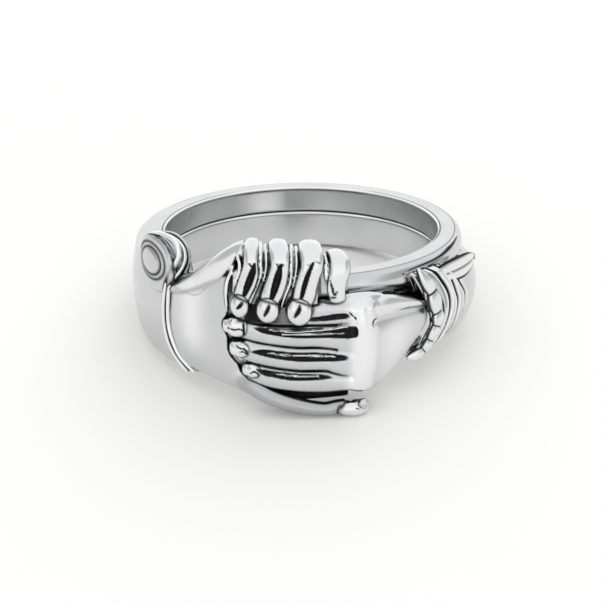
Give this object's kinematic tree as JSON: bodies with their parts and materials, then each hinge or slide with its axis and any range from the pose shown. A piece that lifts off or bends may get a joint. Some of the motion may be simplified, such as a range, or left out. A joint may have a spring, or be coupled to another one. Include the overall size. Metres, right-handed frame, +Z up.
{
  "type": "fede ring",
  "caption": "Silver finger ring of joined hoops that turn on a back rivet, each cast with a sleeve and a hand that clasps the other at the front.",
  "frame": {"origin": "centre of the bounding box on the table, with the ring lying on its side as it rests by itself", "axes": "+Z up from the table; -Y towards the clasped hands at the front; +X towards the sleeve with the beads; the finger hole's axis leans back from +Z by 11.7 degrees towards +Y"},
  "size_m": [0.0218, 0.0226, 0.0107],
  "materials": {
    "silver": "polished sterling silver with darkened recesses",
    "rivet_silver": "polished silver, flush"
  },
  "bodies": {
    "lower_half": {"lower_ring": "silver", "rivet": "rivet_silver"},
    "upper_half": {"upper_ring": "silver"}
  },
  "joints": [
    {"name": "rivet_hinge", "type": "hinge", "parent": "lower_half", "child": "upper_half", "pos_m": [-0.00012, 0.01018, 0.0025], "axis": [0, -0.2026, -0.9793], "range_deg": [0, 150]}
  ]
}
